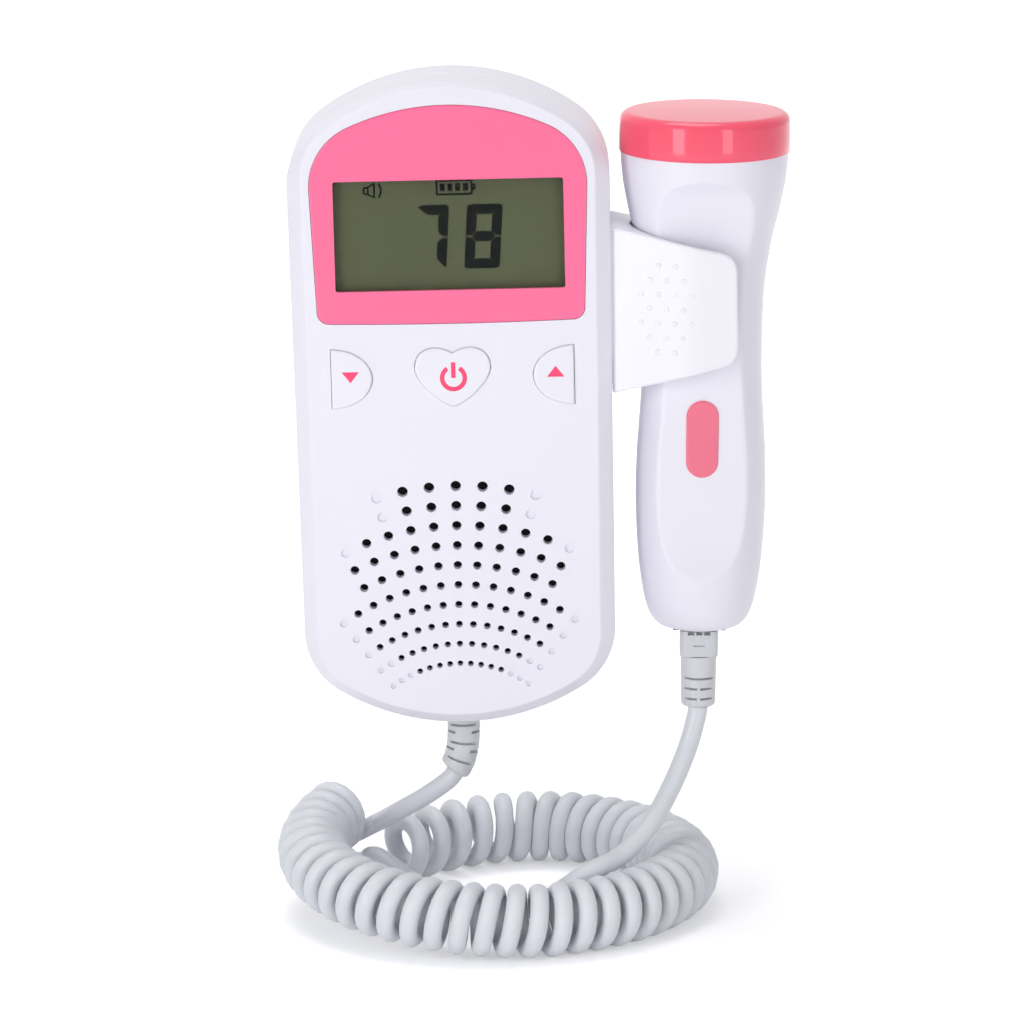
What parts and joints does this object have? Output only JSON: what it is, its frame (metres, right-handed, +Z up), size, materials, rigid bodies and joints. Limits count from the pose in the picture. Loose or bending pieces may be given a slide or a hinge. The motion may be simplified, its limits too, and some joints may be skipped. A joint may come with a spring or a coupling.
{
  "type": "fetal doppler monitor",
  "caption": "Handheld fetal heart monitor with display, heart and arrow buttons, speaker grille, and a corded probe held in a side clip",
  "frame": {"origin": "on the flat rear face of the main unit, half way up and across it", "axes": "+Z up the unit, the display faces -Y, the probe is on the +X side"},
  "size_m": [0.1106, 0.0865, 0.1795],
  "materials": {
    "white_shell": "smooth satin moulding, faint lavender white",
    "button_cap": "satin moulding, symbols printed pink",
    "clip_white": "satin moulding",
    "pink_panel": "printed sheet under a thin clear coat",
    "pink_gloss": "polished, high gloss",
    "pink_badge": "satin",
    "clear_pane": "clear acrylic",
    "display": "liquid crystal display, olive grey",
    "board_green": "solder mask",
    "dark_plastic": "black moulding",
    "switch_metal": "stamped can",
    "cloth_black": "acoustic cloth",
    "speaker_steel": "pressed sheet",
    "cone_black": "paper cone",
    "screw_steel": "zinc plated",
    "contact_nickel": "nickel plated",
    "cell_wrap": "plain printed wrap",
    "boot_grey": "soft moulding",
    "plug_grey": "satin moulding",
    "cord_grey": "soft satin jacket",
    "ceramic": "ceramic disc",
    "rubber_black": "damping backing"
  },
  "bodies": {
    "unit": {"front_shell": "white_shell", "rear_shell": "white_shell", "bezel_panel": "pink_panel", "display_window": "clear_pane", "lcd_module": "display", "display_frame": "dark_plastic", "main_board": "board_green", "power_button_switch": "switch_metal", "down_button_switch": "switch_metal", "up_button_switch": "switch_metal", "speaker_cloth": "cloth_black", "speaker_basket": "speaker_steel", "speaker_cone": "cone_black", "speaker_magnet": "speaker_steel", "battery_left": "cell_wrap", "battery_right": "cell_wrap", "battery_spring_left": "contact_nickel", "battery_spring_right": "contact_nickel", "contact_plate_left": "contact_nickel", "contact_plate_right": "contact_nickel", "contact_bridge": "contact_nickel", "case_screw_upper_left": "screw_steel", "case_screw_upper_right": "screw_steel", "case_screw_lower_left": "screw_steel", "case_screw_lower_right": "screw_steel", "unit_boot": "boot_grey", "probe_clip": "clip_white", "cord_unit_lead": "cord_grey", "cord_coil": "cord_grey"},
    "battery_door": {"battery_door": "white_shell"},
    "probe": {"probe_front_shell": "white_shell", "probe_rear_shell": "white_shell", "probe_cap": "pink_gloss", "sounding_element": "ceramic", "element_backing": "rubber_black", "probe_board": "board_green", "probe_badge": "pink_badge", "probe_socket": "dark_plastic", "plug_housing": "plug_grey", "plug_boot": "boot_grey", "cord_probe_lead": "cord_grey"},
    "power_button": {"power_button": "button_cap", "power_button_plunger": "dark_plastic"},
    "down_button": {"down_button": "button_cap", "down_button_plunger": "dark_plastic"},
    "up_button": {"up_button": "button_cap", "up_button_plunger": "dark_plastic"}
  },
  "joints": [
    {"name": "power_button_press", "type": "slide", "parent": "unit", "child": "power_button", "axis": [0, 1, 0], "range_m": [0, 0.0008], "stiffness_N_per_m": 400, "springref_m": -0.0004},
    {"name": "down_button_press", "type": "slide", "parent": "unit", "child": "down_button", "axis": [0, 1, 0], "range_m": [0, 0.0008], "stiffness_N_per_m": 400, "springref_m": -0.0004},
    {"name": "up_button_press", "type": "slide", "parent": "unit", "child": "up_button", "axis": [0, 1, 0], "range_m": [0, 0.0008], "stiffness_N_per_m": 400, "springref_m": -0.0004},
    {"name": "battery_door_slide", "type": "slide", "parent": "unit", "child": "battery_door", "axis": [0, 0, -1], "range_m": [0, 0.03]},
    {"name": "probe_unclip", "type": "slide", "parent": "unit", "child": "probe", "axis": [0.9996, 0, -0.0279], "range_m": [0, 0.024], "deforming": ["cord_probe_lead"]}
  ]
}
